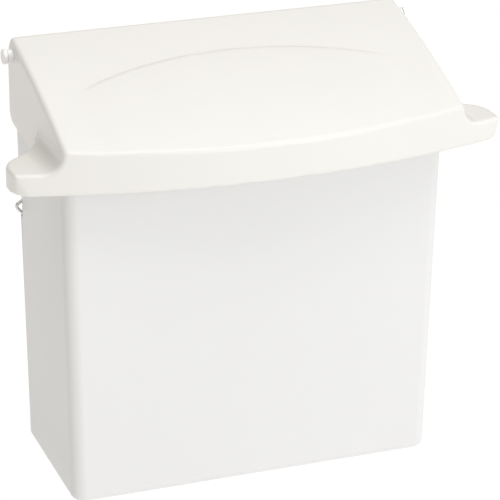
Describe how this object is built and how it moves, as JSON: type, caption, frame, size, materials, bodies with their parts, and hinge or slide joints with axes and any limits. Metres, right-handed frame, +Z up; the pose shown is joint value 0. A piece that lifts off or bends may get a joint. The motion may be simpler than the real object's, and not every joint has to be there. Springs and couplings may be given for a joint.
{
  "type": "wall-mounted sanitary disposal bin",
  "caption": "Tapered moulded-plastic wall bin with a hooded hinged lid, side lifting wings, a rigid lift-out liner and a wire hanger behind.",
  "frame": {"origin": "centre of the overall box at the level of the container's base", "axes": "+X to the right across the bin, -Y to its front and +Y to the wall, +Z up"},
  "size_m": [0.308, 0.133, 0.273],
  "materials": {
    "container_plastic": "satin moulded",
    "lid_plastic": "fine-textured moulded",
    "liner_plastic": "satin moulded",
    "nylon": "natural",
    "wire_steel": "zinc plated"
  },
  "bodies": {
    "container": {"container": "container_plastic", "hinge_pin_left": "nylon", "hinge_pin_right": "nylon", "hanger_wire": "wire_steel"},
    "lid": {"lid": "lid_plastic", "hinge_bush_left": "nylon", "hinge_bush_right": "nylon"},
    "liner": {"liner": "liner_plastic"}
  },
  "joints": [
    {"name": "lid_hinge", "type": "hinge", "parent": "container", "child": "lid", "pos_m": [0, 0.0555, 0.2628], "axis": [-1, 0, 0], "range_deg": [0, 105]},
    {"name": "liner_lift", "type": "slide", "parent": "container", "child": "liner", "axis": [0, 0, 1], "range_m": [0, 0.01]}
  ]
}
